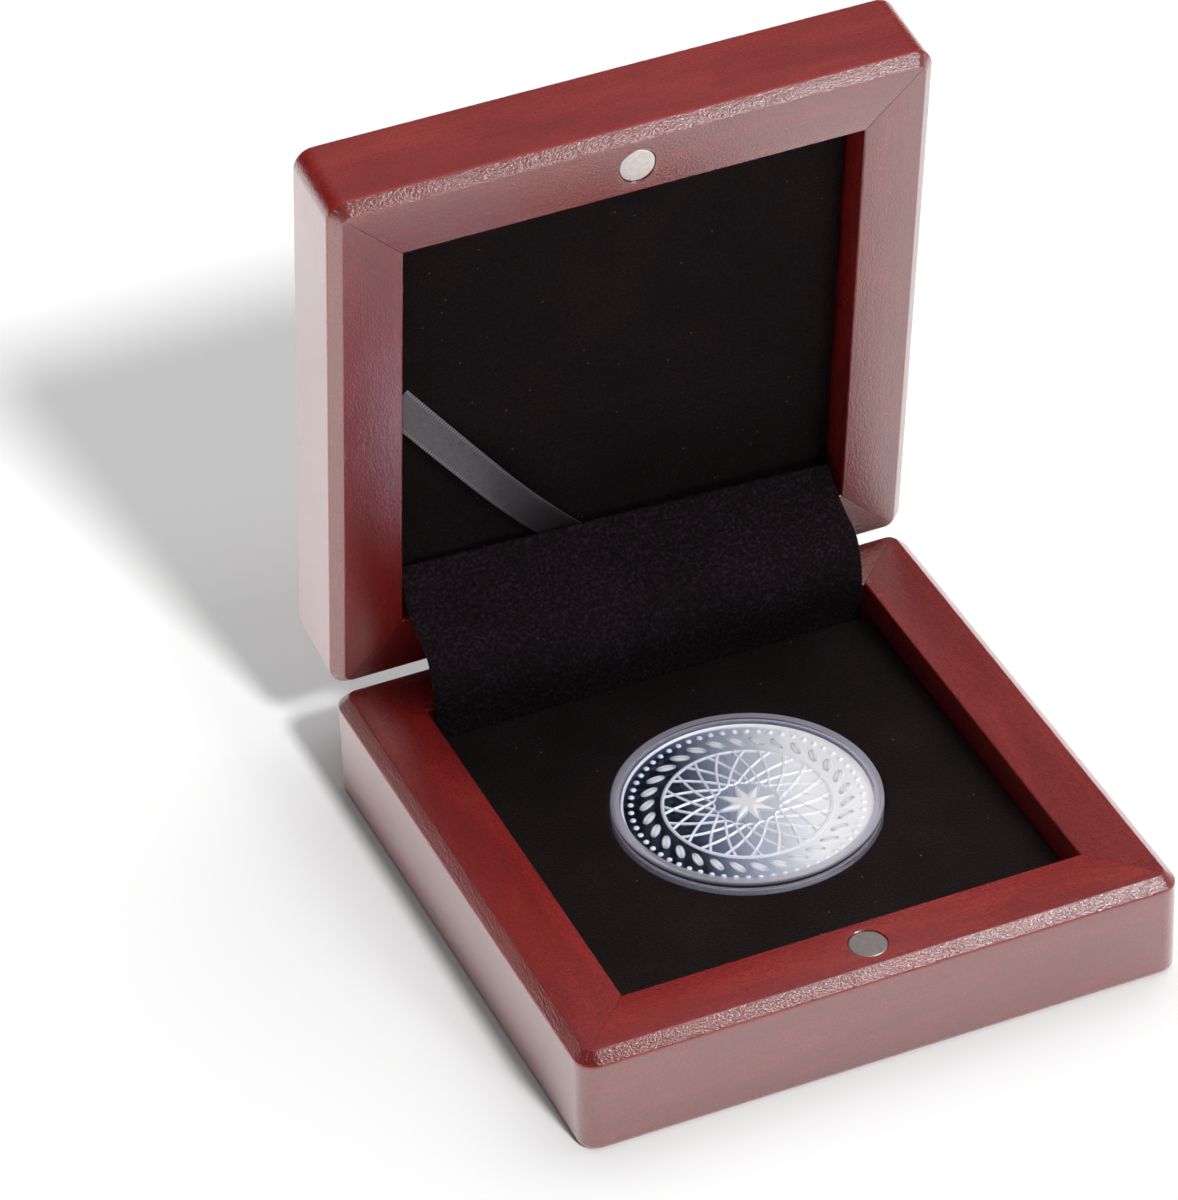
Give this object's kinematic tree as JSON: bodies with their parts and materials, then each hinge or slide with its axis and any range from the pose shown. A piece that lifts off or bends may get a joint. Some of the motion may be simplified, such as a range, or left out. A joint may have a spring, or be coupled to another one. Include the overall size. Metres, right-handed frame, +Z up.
{
  "type": "coin display case",
  "caption": "Square wooden box with a hinged magnetic lid, bevelled rims, velvet insert, padded lining, a certificate ribbon and a clear capsule that holds a coin.",
  "frame": {"origin": "centre of the base's underside, in the plane it rests on", "axes": "+Z up, -Y the front with the magnets, +Y the hinge side, +X to the right seen from the front"},
  "size_m": [0.09, 0.103, 0.1079],
  "materials": {
    "lacquered_mahogany": "stained mahogany under satin lacquer",
    "lacquered_panel": "stained veneered panel under satin lacquer",
    "nickel_magnet": "matt nickel plate",
    "black_felt": "felt",
    "fibreboard": "raw board",
    "black_velvet": "short pile velvet",
    "foam_pad": "soft foam sheet",
    "satin_ribbon": "satin",
    "hinge_brass": "plain",
    "clear_acrylic": "clear gloss",
    "struck_silver": "mirror field with frosted relief"
  },
  "bodies": {
    "base": {"base_front_rail": "lacquered_mahogany", "base_right_rail": "lacquered_mahogany", "base_rear_rail": "lacquered_mahogany", "base_left_rail": "lacquered_mahogany", "base_panel": "lacquered_panel", "base_magnet": "nickel_magnet", "base_felt": "black_felt", "insert_board": "fibreboard", "insert_velvet": "black_velvet", "hinge_flap": "black_velvet", "hinge_base_leaf": "hinge_brass", "hinge_pin": "hinge_brass", "hinge_base_screws": "hinge_brass"},
    "lid": {"lid_front_rail": "lacquered_mahogany", "lid_right_rail": "lacquered_mahogany", "lid_rear_rail": "lacquered_mahogany", "lid_left_rail": "lacquered_mahogany", "lid_panel": "lacquered_panel", "lid_magnet": "nickel_magnet", "lid_lining": "black_velvet", "lid_pad": "foam_pad", "certificate_ribbon": "satin_ribbon", "hinge_lid_leaf": "hinge_brass", "hinge_lid_screws": "hinge_brass"},
    "capsule": {"capsule_lower_shell": "clear_acrylic", "coin": "struck_silver"},
    "capsule_cap": {"capsule_upper_shell": "clear_acrylic"}
  },
  "joints": [
    {"name": "lid_hinge", "type": "hinge", "parent": "base", "child": "lid", "pos_m": [0, 0.0444, 0.01758], "axis": [1, 0, 0], "range_deg": [0, 82.5], "deforming": ["hinge_flap"]},
    {"name": "capsule_lift", "type": "slide", "parent": "base", "child": "capsule", "axis": [0, 0, 1], "range_m": [0, 0.005]},
    {"name": "capsule_open", "type": "slide", "parent": "capsule", "child": "capsule_cap", "axis": [0, 0, 1], "range_m": [0, 0.0024]}
  ]
}
